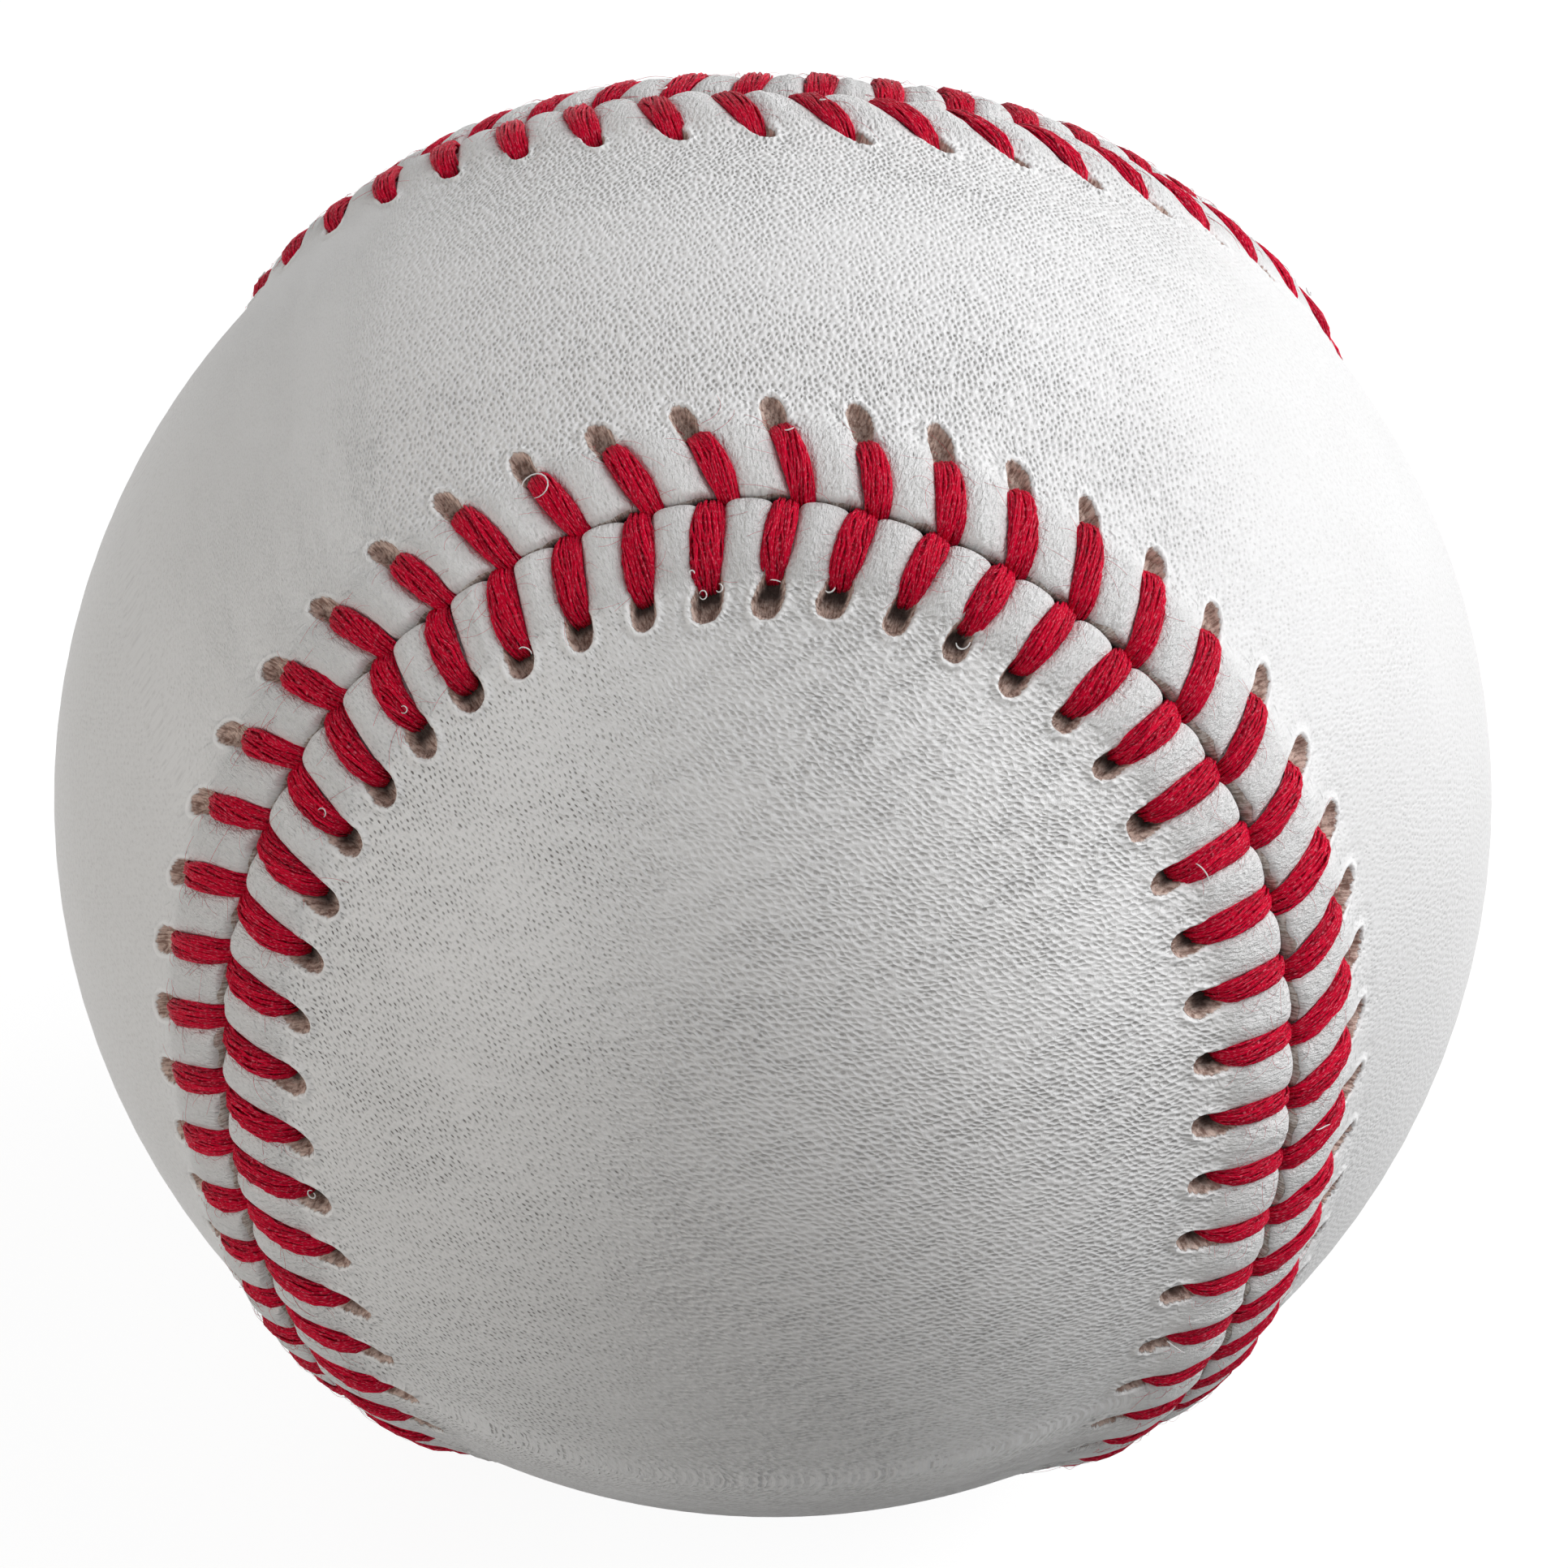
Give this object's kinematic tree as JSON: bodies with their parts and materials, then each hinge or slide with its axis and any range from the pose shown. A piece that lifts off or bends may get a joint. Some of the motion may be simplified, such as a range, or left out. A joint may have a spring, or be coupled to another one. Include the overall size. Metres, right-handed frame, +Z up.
{
  "type": "baseball",
  "caption": "Leather-covered ball with a cork and rubber centre, wound wool yarn and two figure-eight cover panels laced together with a raised red double stitch.",
  "frame": {"origin": "centre of the ball", "axes": "+Z up through the waist of the upper panel, -Y towards the round end of the lower panel that the picture shows, +X to the right in the picture"},
  "size_m": [0.0728, 0.0728, 0.0728],
  "materials": {
    "leather": "full-grain white leather with a fine pore pattern, satin",
    "thread": "waxed cotton, loosely twisted",
    "cork": "ground cork bound with rubber, matt",
    "black_rubber": "moulded, matt",
    "red_rubber": "moulded, matt",
    "grey_wool": "plied wool yarn, wound under tension",
    "white_wool": "plied wool yarn, wound under tension",
    "white_cotton": "fine finishing yarn, wound close",
    "cement": "dried rubber cement, slightly glossy"
  },
  "bodies": {
    "root": {"cork_core": "cork", "inner_rubber_cup_upper": "black_rubber", "inner_rubber_cup_lower": "black_rubber", "rubber_washer": "red_rubber", "outer_rubber_jacket": "red_rubber", "first_wool_winding": "grey_wool", "second_wool_winding": "white_wool", "third_wool_winding": "grey_wool", "cotton_winding": "white_cotton", "cement_coat": "cement", "upper_cover_panel": "leather", "lower_cover_panel": "leather", "upper_thread_legs": "thread", "lower_thread_legs": "thread"}
  },
  "joints": []
}
